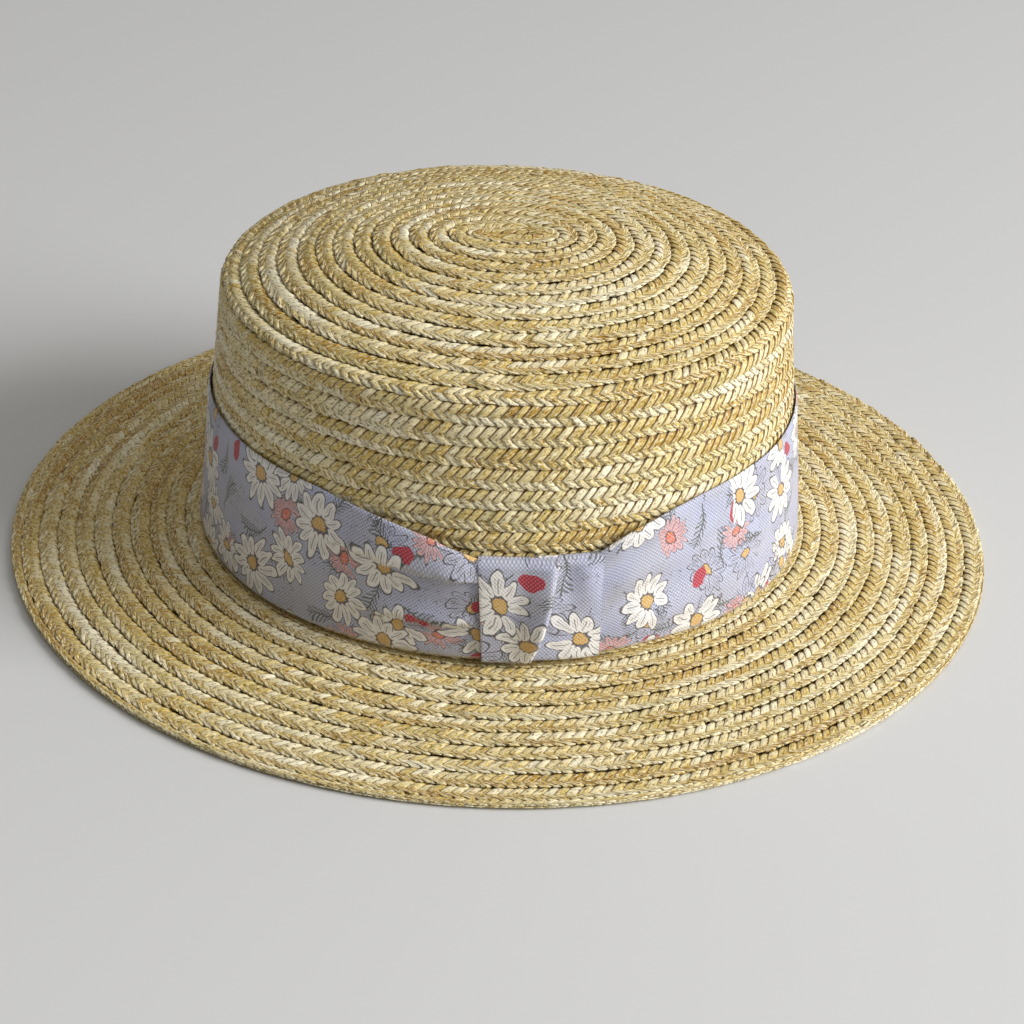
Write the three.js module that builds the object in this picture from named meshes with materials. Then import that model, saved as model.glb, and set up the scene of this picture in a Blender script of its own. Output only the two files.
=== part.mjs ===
// A flat-top straw hat (boater) with a cloth band and its flat knot, in millimetres.
// +Z is up, X runs along the long axis of the oval head, and the knot is at the front, towards -Y.
// The origin is in the middle of the brim's oval, on the surface that the hat rests on.
import * as THREE from "three";
import { mergeVertices } from "three/addons/utils/BufferGeometryUtils.js";

// Oval and head
const OVAL_GROWTH = 7.6; // every oval reaches this much further along X than along Y
const HEAD_RADIUS = 88.1; // outside of the crown's foot, half of its width along Y
const SIDE_LEAN = 7; // how far the side leans in between its foot and the shoulder
const HOLLOW_ROUND = 1.9; // radius of the shoulder's rounding inside; outside it is larger by the straw
const LEDGE_WIDTH = 1.5; // flat part of the shoulder outside the top's last row
const CROWN_HEIGHT = 86.4; // from the brim up to the edge of the top
const DOME_RISE = 12.8; // how much higher the middle of the top is than its edge
const TOP_STEP = 0.4; // how much higher the top's edge is than the ledge, besides the plait's own step

// Brim
const BRIM_WIDTH = 61.9; // from the crown's foot to the brim's edge
const BRIM_DROP = 5.4; // how far the brim slopes down on its way out
const FLAT_EDGE = 5.8; // width of the last row, which lies flat on the table

// Straw plait, sewn in rows that overlap like shingles
const STRAW = 2.4; // thickness where two rows overlap
const ROW_STEP = 0.8; // how far a row's outer edge stands over the next row
const FLAT_PITCH = 5.85; // spacing of the rows on the top and the brim
const SIDE_PITCH = 6.7; // spacing of the rows on the shoulder and the side
const STEP_SHARE = 0.06; // share of a row's width that its step down takes

// Cloth band and knot
const BAND_WIDTH = 46.4; // height of the band where it lies smooth
const BAND_LIFT = 1.6; // how far the band's lower edge lies above the brim
const BAND_CLOTH = 1; // thickness of the band's folded cloth
const KNOT_ANGLE = -81.5; // degrees from +X, so that the knot is a little right of the front
const KNOT_WIDTH = 37.5; // across its upper edge
const KNOT_TAPER = 3; // how much narrower its lower edge is
const KNOT_HEIGHT = 34;
const KNOT_CLOTH = 1.2; // thickness of the cloth wrapped round the band
const KNOT_TAB = 0.8; // how far the folded tab stands over the rest of the knot
const FOLD_DEPTH = 1.6; // how far the gathered folds stand out beside the knot
const FOLD_START = 4; // how far from the knot's edge the folds begin to rise

// Fit and fineness
const GAP = 0.3; // clearance between neighbouring pieces
const STRAW_SEGMENTS = 48;
const DOME_INSIDE = 5; // stretches of the plain inside of the dome
const ROUND_INSIDE = 3; // stretches of the plain inside of the shoulder
const BAND_SEGMENTS = 80;
const BAND_LEVELS = 4;
const BAND_CROWDING = 0.6; // how much closer the band's segments lie at the knot, from 0 to 1
const KNOT_COLUMNS = 14;
const KNOT_ROWS = 6;
const CURVE_DIVISIONS = 400; // how finely a chained curve's length is measured
const WELD = 1e-3; // points closer than this are one

// Heights and radii that follow from the sizes above
const BRIM_TOP = STRAW + BRIM_DROP;
const SHOULDER_RADIUS = HEAD_RADIUS - SIDE_LEAN;
const SHOULDER_ROUND = HOLLOW_ROUND + STRAW;
const LEDGE_RADIUS = SHOULDER_RADIUS - SHOULDER_ROUND;
const TOP_RADIUS = LEDGE_RADIUS - LEDGE_WIDTH;
const BRIM_RADIUS = HEAD_RADIUS + BRIM_WIDTH;
const TOP_EDGE = BRIM_TOP + CROWN_HEIGHT;
const LEDGE_TOP = TOP_EDGE - TOP_STEP;
const SIDE_TOP = LEDGE_TOP - SHOULDER_ROUND;
const CROWN_FOOT = BRIM_TOP + GAP;
const BAND_FOOT = BRIM_TOP + BAND_LIFT;
const KNOT_MIDDLE = THREE.MathUtils.degToRad(KNOT_ANGLE);

// The band is squeezed towards the knot. along: place along the band from the knot's middle, as a share
// of the knot's width, left of it negative. height: the band's height there, from the knot's height at 0
// to the full width of the band at 1.
const SQUEEZE = [
  { along: -2.6, height: 1 },
  { along: -2, height: 0.97 },
  { along: -1.3, height: 0.72 },
  { along: -0.95, height: 0.53 },
  { along: -0.62, height: 0.18 },
  { along: -0.5, height: 0 },
  { along: 0.42, height: 0 },
  { along: 0.54, height: 0.27 },
  { along: 0.74, height: 0.56 },
  { along: 1.08, height: 0.78 },
  { along: 1.46, height: 0.9 },
  { along: 2, height: 1 },
];

// Folds that run out of the knot. side: -1 left, 1 right. near and far: the fold's height at the knot and
// at its far end, as shares of the band's height there. reach: its length as a share of the knot's width.
// half: half its width as a share of the band's height. depth: share of the fold depth.
const FOLDS = [
  { side: -1, near: 0.72, far: 0.8, reach: 1.5, half: 0.2, depth: 1 },
  { side: -1, near: 0.3, far: 0.22, reach: 0.9, half: 0.16, depth: 0.6 },
  { side: 1, near: 0.8, far: 0.86, reach: 1.0, half: 0.16, depth: 0.8 },
  { side: 1, near: 0.42, far: 0.36, reach: 1.4, half: 0.18, depth: 0.7 },
];

// The knot's edges are thinner by this share, and its tab's fold is this wide, as a share of its width
const EDGE_ROUND = 0.18;
const TAB_ROUND = 0.07;

// The knot's tab ends in a slanting fold. up: share of the knot's height. across: where the fold is there,
// from -1 at the knot's left edge to 1 at its right edge.
const TAB_EDGE = [
  { up: 0, across: -0.19 },
  { up: 0.33, across: -0.04 },
  { up: 0.6, across: 0.08 },
  { up: 0.76, across: 0.14 },
  { up: 1, across: 0.17 },
];

// A table's value at a place between its rows
function readTable(rows, key, value, place) {
  const next = rows.findIndex((row) => row[key] >= place);
  if (next === 0) return rows[0][value];
  if (next < 0) return rows[rows.length - 1][value];
  const [a, b] = [rows[next - 1], rows[next]];
  const share = (place - a[key]) / (b[key] - a[key]);
  return THREE.MathUtils.lerp(a[value], b[value], share);
}

// The point of a plane curve at a share of its length, moved square to the curve, outwards
function beside(curve, share, distance) {
  const at = curve.getPointAt(share);
  const along = curve.getTangentAt(share);
  return new THREE.Vector2(at.x - along.y * distance, at.y + along.x * distance);
}

// The outside of plait rows along a curve: each row starts low, under the row before it, and rises to
// the curve at its own outer edge.
function plaitRows(curve, pitch, pointsPerRow) {
  const rows = Math.max(1, Math.round(curve.getLength() / pitch));
  const points = [];
  for (let row = 0; row < rows; row++) {
    for (let step = 0; step < pointsPerRow; step++) {
      const rise = step / (pointsPerRow - 1);
      const place = row + STEP_SHARE + (1 - STEP_SHARE) * rise;
      points.push(beside(curve, place / rows, ROW_STEP * (rise - 1)));
    }
  }
  return points;
}

// The inside of a wall along a curve, at one thickness
function plainWall(curve, count) {
  const points = [];
  for (let i = 0; i <= count; i++) points.push(beside(curve, i / count, -STRAW));
  return points;
}

// A curve made of others, one after the other
function chain(...curves) {
  const path = new THREE.CurvePath();
  curves.forEach((curve) => path.add(curve));
  path.arcLengthDivisions = CURVE_DIVISIONS;
  return path;
}

// The radius of the crown's side at a height
function sideRadius(height) {
  const share = (height - BRIM_TOP) / (SIDE_TOP - BRIM_TOP);
  return HEAD_RADIUS - SIDE_LEAN * share;
}

// A closed profile turned round the oval. It runs outwards over the top and back underneath, and the lathe
// takes it the other way round. place gives each point's radius and height from its angle and its own
// radius and height, and lets the band follow its folds. spread moves the angles of the segments.
function turnOval(
  outline, segments, place = (angle, radius, height) => [radius, height], spread = (turn) => turn,
) {
  const profile = [...outline].reverse();
  const lathe = new THREE.LatheGeometry(profile, segments);
  const position = lathe.getAttribute("position");
  for (let i = 0; i < position.count; i++) {
    const segment = Math.floor(i / profile.length) % segments;
    const angle = spread((segment / segments) * 2 * Math.PI);
    const point = profile[i % profile.length];
    const [radius, height] = place(angle, point.x, point.y);
    const x = (radius + OVAL_GROWTH) * Math.cos(angle);
    position.setXYZ(i, x, radius * Math.sin(angle), height);
  }
  return welded(lathe);
}

// A geometry with one vertex at each point, and no open seam
function welded(geometry) {
  geometry.deleteAttribute("normal");
  geometry.deleteAttribute("uv");
  const closed = mergeVertices(geometry, WELD);
  closed.computeVertexNormals();
  return closed;
}

// The crown: a domed top, a narrow ledge, a rounded shoulder and a leaning side
function crownGeometry() {
  const edge = new THREE.Vector2(TOP_RADIUS, TOP_EDGE);
  const peak = new THREE.Vector2(0, TOP_EDGE + DOME_RISE);
  const dome = new THREE.QuadraticBezierCurve(peak, new THREE.Vector2(TOP_RADIUS / 2, peak.y), edge);
  const ledge = new THREE.LineCurve(
    new THREE.Vector2(TOP_RADIUS, LEDGE_TOP), new THREE.Vector2(LEDGE_RADIUS, LEDGE_TOP));
  const round = new THREE.EllipseCurve(
    LEDGE_RADIUS, SIDE_TOP, SHOULDER_ROUND, SHOULDER_ROUND, Math.PI / 2, 0, true);
  const side = new THREE.LineCurve(
    new THREE.Vector2(SHOULDER_RADIUS, SIDE_TOP), new THREE.Vector2(HEAD_RADIUS, CROWN_FOOT));
  const outside = [
    peak,
    ...plaitRows(dome, FLAT_PITCH, 2),
    ...plaitRows(chain(ledge, round, side), SIDE_PITCH, 3),
  ];
  const inside = [
    new THREE.Vector2(0, peak.y - STRAW),
    ...plainWall(dome, DOME_INSIDE).slice(1, -1),
    ...plainWall(round, ROUND_INSIDE),
    new THREE.Vector2(HEAD_RADIUS - STRAW, CROWN_FOOT),
  ];
  return turnOval([...outside, ...inside.reverse()], STRAW_SEGMENTS);
}

// The brim: it slopes down to a last row that lies flat, and its inside edge carries the crown
function brimGeometry() {
  const inner = HEAD_RADIUS - STRAW;
  const flat = BRIM_RADIUS - FLAT_EDGE;
  const slope = new THREE.LineCurve(
    new THREE.Vector2(HEAD_RADIUS, BRIM_TOP), new THREE.Vector2(flat, STRAW));
  const last = new THREE.LineCurve(
    new THREE.Vector2(flat, STRAW), new THREE.Vector2(BRIM_RADIUS, STRAW));
  const profile = [
    new THREE.Vector2(inner, BRIM_TOP),
    new THREE.Vector2(HEAD_RADIUS, BRIM_TOP),
    ...plaitRows(slope, FLAT_PITCH, 2),
    ...plaitRows(last, FLAT_EDGE, 2),
    new THREE.Vector2(BRIM_RADIUS, 0),
    new THREE.Vector2(flat, 0),
    new THREE.Vector2(inner, BRIM_TOP - STRAW),
    new THREE.Vector2(inner, BRIM_TOP),
  ];
  return turnOval(profile, STRAW_SEGMENTS);
}

// The distance along the band from the knot's middle, as a share of the knot's width
function alongBand(angle) {
  const turn = THREE.MathUtils.euclideanModulo(angle - KNOT_MIDDLE + Math.PI, 2 * Math.PI) - Math.PI;
  return (turn * (HEAD_RADIUS + OVAL_GROWTH)) / KNOT_WIDTH;
}

// How far the folds lift the cloth at a place along the band and a share of its height
function foldLift(along, up) {
  const beyond = Math.abs(along) - 0.5 - FOLD_START / KNOT_WIDTH;
  if (beyond <= 0) return 0;
  let lift = 0;
  for (const fold of FOLDS) {
    const way = beyond / fold.reach;
    if (Math.sign(along) !== fold.side || way >= 1) continue;
    const middle = THREE.MathUtils.lerp(fold.near, fold.far, way);
    const spread = Math.exp(-(((up - middle) / fold.half) ** 2));
    const fade = Math.sin(Math.PI * Math.sqrt(way)) ** 2;
    lift += fold.depth * FOLD_DEPTH * spread * fade;
  }
  return lift;
}

// The band: a ring round the crown's foot, squeezed and folded beside the knot
function bandGeometry() {
  const profile = [];
  for (let i = 0; i <= BAND_LEVELS; i++) profile.push(new THREE.Vector2(0, i / BAND_LEVELS));
  for (let i = BAND_LEVELS; i >= 0; i--) profile.push(new THREE.Vector2(1, i / BAND_LEVELS));
  profile.push(profile[0].clone());
  const place = (angle, layer, up) => {
    const along = alongBand(angle);
    const squeeze = readTable(SQUEEZE, "along", "height", along);
    const width = THREE.MathUtils.lerp(KNOT_HEIGHT, BAND_WIDTH, squeeze);
    const height = BAND_FOOT + width * up;
    const radius = sideRadius(height) + GAP + layer * BAND_CLOTH + foldLift(along, up);
    return [radius, height];
  };
  const crowd = (turn) => KNOT_MIDDLE + turn - BAND_CROWDING * Math.sin(turn);
  return turnOval(profile, BAND_SEGMENTS, place, crowd);
}

// The knot: cloth wrapped over the squeezed band, with a tab folded slantwise over it
function knotGeometry() {
  const plate = new THREE.BoxGeometry(2, 1, 1, KNOT_COLUMNS, KNOT_ROWS, 1);
  const position = plate.getAttribute("position");
  for (let i = 0; i < position.count; i++) {
    const across = position.getX(i);
    const up = position.getY(i) + 0.5;
    const layer = position.getZ(i) + 0.5;
    const edge = readTable(TAB_EDGE, "up", "across", up);
    const tab = THREE.MathUtils.smoothstep(edge - across, -TAB_ROUND, TAB_ROUND) * KNOT_TAB;
    const round = 1 - EDGE_ROUND * Math.max(Math.abs(across), Math.abs(2 * up - 1)) ** 4;
    const height = BAND_FOOT + KNOT_HEIGHT * up;
    const seat = sideRadius(height) + BAND_CLOTH + 2 * GAP;
    const radius = seat + layer * (KNOT_CLOTH * round + tab);
    const width = KNOT_WIDTH - KNOT_TAPER * (1 - up);
    const angle = KNOT_MIDDLE + (across * width) / 2 / (HEAD_RADIUS + OVAL_GROWTH);
    const x = (radius + OVAL_GROWTH) * Math.cos(angle);
    position.setXYZ(i, x, radius * Math.sin(angle), height);
  }
  return welded(plate);
}

// Materials
const straw = new THREE.MeshStandardMaterial({ color: 0xcbb57c, roughness: 0.65, metalness: 0 });
const cloth = new THREE.MeshStandardMaterial({ color: 0xb0b8d2, roughness: 0.9, metalness: 0 });

// Assembly
const hat = new THREE.Group();
const pieces = [
  ["crown", crownGeometry(), straw],
  ["brim", brimGeometry(), straw],
  ["ribbon_band", bandGeometry(), cloth],
  ["ribbon_knot", knotGeometry(), cloth],
];
for (const [name, geometry, material] of pieces) {
  const mesh = new THREE.Mesh(geometry, material);
  mesh.name = name;
  hat.add(mesh);
}

export default hat;
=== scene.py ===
"""Looks of a flat-top straw hat: sewn straw plait, a printed cloth band and its flat knot.

Lengths are in metres unless a name or a table says millimetres. X runs along the long axis of the
oval head, the knot is at the front towards -Y, and +Z is up.
"""
import sys

import logging
from dataclasses import dataclass, field
from enum import Enum
from typing import Callable, Optional, Sequence

import bpy
import numpy as np
from mathutils import Matrix, Vector


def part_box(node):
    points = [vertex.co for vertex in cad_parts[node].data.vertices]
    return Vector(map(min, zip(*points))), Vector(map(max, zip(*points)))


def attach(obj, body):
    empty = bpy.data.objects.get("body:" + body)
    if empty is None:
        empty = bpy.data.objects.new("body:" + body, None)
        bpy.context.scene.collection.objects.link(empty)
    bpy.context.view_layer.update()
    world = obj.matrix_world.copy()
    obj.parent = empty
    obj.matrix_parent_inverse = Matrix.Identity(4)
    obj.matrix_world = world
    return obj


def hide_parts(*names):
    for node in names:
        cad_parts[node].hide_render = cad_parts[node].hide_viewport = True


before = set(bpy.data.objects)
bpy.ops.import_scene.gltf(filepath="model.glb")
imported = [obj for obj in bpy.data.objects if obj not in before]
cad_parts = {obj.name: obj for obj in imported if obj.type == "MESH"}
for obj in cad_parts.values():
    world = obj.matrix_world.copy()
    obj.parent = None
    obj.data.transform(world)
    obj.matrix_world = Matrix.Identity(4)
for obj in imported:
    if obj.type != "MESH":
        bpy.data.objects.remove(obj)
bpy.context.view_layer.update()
LOG = logging.getLogger("straw_hat")
MM = 0.001
TURN = 2 * np.pi
Array = np.ndarray


class Place(Enum):
    """Where a row of plait lies, because its splints show differently there."""

    FLAT = "top and brim"
    SIDE = "side"


class Domain(Enum):
    """What a value belongs to in a mesh."""

    POINT = "POINT"
    FACE = "FACE"


@dataclass(frozen=True)
class HatSizes:
    """Main sizes of the hat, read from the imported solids, and those that only the looks need."""

    growth: float
    brim_radius: float
    brim_top: float
    foot_radius: float
    top: float
    band_foot: float
    band_top: float
    knot_top: float
    side_lean: float = 7.0 * MM
    shoulder_round: float = 4.3 * MM
    ledge_width: float = 1.5 * MM
    dome_rise: float = 12.8 * MM
    top_step: float = 0.4 * MM
    rim_top: float = 2.1 * MM
    gap: float = 0.3 * MM

    @classmethod
    def from_frame(cls) -> "HatSizes":
        """The sizes of the solids in the frame.

        Returns:
            HatSizes: half widths along Y, heights, and how much wider the ovals are along X.
        """
        brim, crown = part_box("brim")[1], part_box("crown")[1]
        band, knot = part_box("ribbon_band"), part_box("ribbon_knot")
        return cls(growth=brim.x - brim.y, brim_radius=brim.y, brim_top=brim.z, foot_radius=crown.y,
                   top=crown.z, band_foot=band[0].z, band_top=band[1].z, knot_top=knot[1].z)

    @property
    def top_edge(self) -> float:
        """Height of the edge of the domed top."""
        return self.top - self.dome_rise

    @property
    def ledge_top(self) -> float:
        """Height of the narrow ledge outside the domed top."""
        return self.top_edge - self.top_step

    @property
    def side_top(self) -> float:
        """Height at which the leaning side meets the shoulder's rounding."""
        return self.ledge_top - self.shoulder_round

    def side_radius(self, height: Array) -> Array:
        """Half width of the crown's side along Y: it leans in evenly from foot to shoulder.

        Args:
            height: heights above the table.

        Returns:
            Array: the radius at each height.
        """
        share = (height - self.brim_top) / (self.side_top - self.brim_top)
        return self.foot_radius - self.side_lean * share

    def oval(self, radius: Array, angle: Array, height: Array) -> Array:
        """Points on an oval: x = (radius + growth) cos(angle), y = radius sin(angle).

        Args:
            radius: half width along Y.
            angle: turn about +Z from +X, in radians.
            height: height above the table.

        Returns:
            Array: points, with the last axis x, y, z.
        """
        radius, angle, height = np.broadcast_arrays(radius, angle, height)
        return np.stack([(radius + self.growth) * np.cos(angle), radius * np.sin(angle), height], -1)


class Profile:
    """A curve of radius and height, walked by its length, with the direction square to it."""

    SMOOTH = 0.9 * MM
    STEP = 0.1 * MM

    def __init__(self, corners: Array) -> None:
        """Resamples a polyline evenly and rounds it with a running mean of Gaussian weights.

        Args:
            corners: rows of radius and height.
        """
        lengths = np.r_[0, np.cumsum(np.linalg.norm(np.diff(corners, axis=0), axis=1))]
        count = int(lengths[-1] / self.STEP) + 1
        self.s = np.linspace(0, lengths[-1], count)
        raw = np.stack([np.interp(self.s, lengths, corners[:, i]) for i in range(2)], -1)
        reach = int(3 * self.SMOOTH / self.STEP)
        weights = np.exp(-0.5 * (np.arange(-reach, reach + 1) * self.STEP / self.SMOOTH) ** 2)
        weights /= weights.sum()
        padded = np.concatenate([2 * raw[0] - raw[reach:0:-1], raw, 2 * raw[-1] - raw[-2:-reach - 2:-1]])
        self.points = np.stack([np.convolve(padded[:, i], weights, "valid") for i in range(2)], -1)
        along = np.gradient(self.points, axis=0)
        along /= np.linalg.norm(along, axis=1, keepdims=True)
        self.normals = np.stack([-along[:, 1], along[:, 0]], -1)

    @property
    def length(self) -> float:
        """Length of the curve."""
        return float(self.s[-1])

    def at(self, s: Array, lift: Array) -> tuple[Array, Array]:
        """Radius and height at a length along the curve, moved outwards square to it.

        Args:
            s: lengths along the curve.
            lift: distances outwards.

        Returns:
            tuple[Array, Array]: radius and height.
        """
        point = [np.interp(s, self.s, self.points[:, i]) for i in range(2)]
        normal = [np.interp(s, self.s, self.normals[:, i]) for i in range(2)]
        return point[0] + lift * normal[0], point[1] + lift * normal[1]


@dataclass
class Grid:
    """A closed surface as a grid of points, with values for its material."""

    points: Array
    uv: Array
    values: dict[str, tuple[Domain, Array]] = field(default_factory=dict)
    loop_rows: bool = False
    mirrored: bool = False

    def faces(self) -> Array:
        """Corner numbers of the quads between neighbouring rows and columns.

        Columns always close on themselves. Rows do only where loop_rows says so.

        Returns:
            Array: four corner numbers a face.
        """
        rows, columns = self.points.shape[:2]
        r = np.arange(rows if self.loop_rows else rows - 1)[:, None]
        c = np.arange(columns)[None, :]
        r2, c2 = (r + 1) % rows, (c + 1) % columns
        return np.stack([r * columns + c, r2 * columns + c, r2 * columns + c2, r * columns + c2], -1)


class Piece:
    """Makes a Blender object of a grid and dresses it."""

    BODY = "root"

    def __init__(self, name: str, slot: str, replaced: Sequence[str]) -> None:
        """Names the piece.

        Args:
            name: the object's name.
            slot: name of a material slot, kept on the piece but not used.
            replaced: the solids that the piece stands for.
        """
        self.name, self.slot, self.replaced = name, slot, tuple(replaced)

    def make(self, grid: Grid, material: bpy.types.Material) -> bpy.types.Object:
        """Puts a grid into a mesh, closes its ends, turns it outwards and hands it to the frame.

        Args:
            grid: the surface.
            material: its finish.

        Returns:
            bpy.types.Object: the finished piece.
        """
        corners = grid.points.reshape(-1, 3)
        quads = grid.faces()
        faces = quads.reshape(-1, 4)
        volume = np.einsum("ij,ij->i", corners[faces[:, 0]],
                           np.cross(corners[faces[:, 1]], corners[faces[:, 2]])
                           + np.cross(corners[faces[:, 2]], corners[faces[:, 3]])).sum()
        inside_out = volume < 0
        mesh = bpy.data.meshes.new(self.name)
        columns = grid.points.shape[1]
        caps = [] if grid.loop_rows else self._caps(grid)
        loops = np.concatenate([faces[:, ::-1].ravel() if inside_out else faces.ravel()]
                               + [cap[::-1] if inside_out else cap for cap in caps])
        sizes = np.r_[np.full(len(faces), 4), [len(cap) for cap in caps]].astype(np.int32)
        mesh.vertices.add(len(corners))
        mesh.loops.add(len(loops))
        mesh.polygons.add(len(sizes))
        mesh.vertices.foreach_set("co", corners.astype(np.float32).ravel())
        mesh.loops.foreach_set("vertex_index", loops.astype(np.int32))
        mesh.polygons.foreach_set("loop_start", np.r_[0, np.cumsum(sizes)[:-1]].astype(np.int32))
        mesh.polygons.foreach_set("use_smooth", np.ones(len(sizes), bool))
        mesh.update(calc_edges=True)
        self._paint(mesh, grid, loops, inside_out, caps)
        mesh.validate()
        mesh.materials.append(material)
        piece = bpy.data.objects.new(self.name, mesh)
        bpy.context.scene.collection.objects.link(piece)
        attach(piece, self.BODY)
        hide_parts(*self.replaced)
        LOG.info("%s: %d faces", self.name, len(sizes))
        return piece

    @staticmethod
    def _caps(grid: Grid) -> list[Array]:
        """Faces that close the two ends: one each, or quads between the two faces of a mirrored section.

        Args:
            grid: the surface.

        Returns:
            list[Array]: corner numbers of each face.
        """
        rows, columns = grid.points.shape[:2]
        if grid.mirrored:
            i = np.arange(columns // 2 - 1)
            first = np.stack([i, i + 1, columns - 2 - i, columns - 1 - i], -1)[:, ::-1]
        else:
            first = np.arange(columns)[None, ::-1]
        last = first[:, ::-1] + (rows - 1) * columns
        return [*first, *last]

    @staticmethod
    def _paint(mesh: bpy.types.Mesh, grid: Grid, loops: Array, inside_out: bool, caps: list[Array]) -> None:
        """Gives the mesh its UV map, in millimetres, and the values that its material reads.

        Args:
            mesh: the new mesh.
            grid: the surface, with a UV of each grid point; a face's corners take theirs unwrapped.
            loops: the point of each face corner.
            inside_out: whether the faces were turned round.
            caps: the end faces that follow the quads.
        """
        rows, columns = grid.points.shape[:2]
        shape = (rows if grid.loop_rows else rows - 1, columns)
        r, c = np.meshgrid(np.arange(shape[0]), np.arange(shape[1]), indexing="ij")
        corner = np.stack([grid.uv[r, c], grid.uv[r + 1, c], grid.uv[r + 1, c + 1], grid.uv[r, c + 1]], 2)
        corner = corner.reshape(-1, 4, 2)
        corner = corner[:, ::-1] if inside_out else corner
        tail = grid.uv[:rows, :columns].reshape(-1, 2)[loops[corner.shape[0] * 4:]]
        layer = mesh.uv_layers.new(name="lay")
        layer.data.foreach_set("uv", np.concatenate([corner.reshape(-1, 2), tail]).astype(np.float32).ravel())
        for name, (domain, value) in grid.values.items():
            flat = value.ravel()
            flat = np.r_[flat, np.zeros(len(caps))] if domain is Domain.FACE else flat
            attribute = mesh.attributes.new(name, "FLOAT", domain.value)
            attribute.data.foreach_set("value", flat.astype(np.float32))


def smooth(low: float, high: float, x: Array) -> Array:
    """An even S-shaped rise from 0 at low to 1 at high.

    Args:
        low: where it starts.
        high: where it ends.
        x: places.

    Returns:
        Array: 3q^2 - 2q^3 of the share q of the way from low to high.
    """
    q = np.clip((x - low) / (high - low), 0, 1)
    return q * q * (3 - 2 * q)


def drift(rng: np.random.Generator, count: int, reach: float) -> Array:
    """Values about 0 with a spread of 1 that change slowly from one to the next.

    Args:
        rng: source of chance.
        count: how many.
        reach: over how many neighbours they stay alike.

    Returns:
        Array: white noise after a Gaussian running mean, brought back to unit spread.
    """
    half = int(3 * reach)
    weights = np.exp(-0.5 * (np.arange(-half, half + 1) / reach) ** 2)
    values = np.convolve(rng.standard_normal(count + 2 * half), weights, "valid")
    return values / np.sqrt((weights ** 2).sum())


def wander(t: Array) -> Array:
    """How far a hand-guided row strays from its even spiral.

    Args:
        t: turns from the spiral's start.

    Returns:
        Array: a sum of three sines of unlike length, in metres.
    """
    waves = ((1.0, 1.37, 0.0), (1.0, 2.71, 1.0), (0.6, 4.43, 2.0))
    return 0.16 * MM * sum(size * np.sin(TURN * a_turn * t + shift) for size, a_turn, shift in waves)


@dataclass(frozen=True)
class Section:
    """Cross-section of a row of plait in millimetres.

    across: share of the row from the edge of the row before (0) to its own outer edge (1).
    splint and groove: height of the top face there on a splint and between two splints.
    full: how much of the splint's height is left beside the groove. tone: how much lighter or darker the
    straw is there, with painted shade where the row tucks under the row before it, darker straw that is
    partly painted shade in the recessed outer part, and a painted highlight along the outer edge.
    lean_in and lean_out: run of the splints along the row for their run across it, up to turn_at and after.
    scallop: how far the outer edge is notched at a groove, as a share of the row.
    """

    across: tuple[float, ...]
    splint: tuple[float, ...]
    groove: tuple[float, ...]
    full: tuple[float, ...]
    tone: tuple[float, ...]
    lean_in: float
    lean_out: float
    turn_at: float
    scallop: float


SECTIONS = {
    Place.FLAT: Section(
        across=(-0.12, 0.00, 0.06, 0.15, 0.30, 0.45, 0.55, 0.66, 0.82, 0.92, 1.00),
        splint=(-1.00, -0.44, -0.14, -0.01, 0.00, -0.05, -0.18, -0.23, -0.17, -0.02, -0.16),
        groove=(-1.15, -1.02, -0.84, -0.50, -0.26, -0.20, -0.29, -0.33, -0.27, -0.15, -0.52),
        full=(0.0, 0.2, 0.5, 0.8, 0.95, 0.85, 0.5, 0.6, 0.8, 0.9, 0.9),
        # Tones across the row: painted shade where the row comes out from under the one before it and in the
        # recessed outer part, which is partly darker straw, and a painted highlight along the outer edge.
        tone=(-1.0, -0.6, 0.0, 0.4, 0.4, 0.0, -0.6, -0.9, -0.6, 0.7, 0.9),
        lean_in=-0.85, lean_out=1.8, turn_at=0.55, scallop=0.11),
    Place.SIDE: Section(
        across=(-0.12, 0.00, 0.06, 0.14, 0.32, 0.48, 0.55, 0.66, 0.80, 0.92, 1.00),
        splint=(-1.00, -0.48, -0.22, -0.06, 0.00, -0.06, -0.30, -0.12, -0.02, -0.08, -0.24),
        groove=(-1.15, -1.00, -0.88, -0.60, -0.42, -0.46, -0.64, -0.58, -0.50, -0.52, -0.74),
        full=(0.0, 0.4, 0.7, 0.95, 1.0, 0.95, 0.6, 0.7, 0.8, 0.6, 0.3),
        # Tones across the row: painted shade where the row comes out from under the one before it and in the
        # recessed outer part, which is partly darker straw, and a painted highlight along the outer edge.
        tone=(-0.6, -0.2, 0.1, 0.2, 0.2, 0.1, -0.6, -0.1, 0.2, 0.6, 0.7),
        lean_in=-0.80, lean_out=1.0, turn_at=0.55, scallop=0.10),
}
# The underside, from the outer edge in: places across the row and heights in millimetres, as in a Section.
UNDER_ACROSS = (0.97, 0.72, 0.42, 0.14, -0.10)
UNDER_SPLINT = (-0.80, -1.12, -1.46, -1.70, -1.86)
UNDER_GROOVE = (-0.74, -0.96, -1.22, -1.46, -1.70)
# The grid's columns in one splint: their place along it, their share of its height, and whether they lie
# beside a groove. The first column is the groove itself.
COLUMNS = (0.0, 0.12, 0.46, 0.86)
COLUMN_HEIGHT = (0.0, 1.0, 0.88, 0.50)
COLUMN_SIDE = (0.0, 1.0, 0.0, 1.0)
# Shares of a row's pitch: how far it reaches under the row before it, and the least width it keeps.
OVERLAP = 0.12
LEAST_SHARE = 0.25


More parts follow.
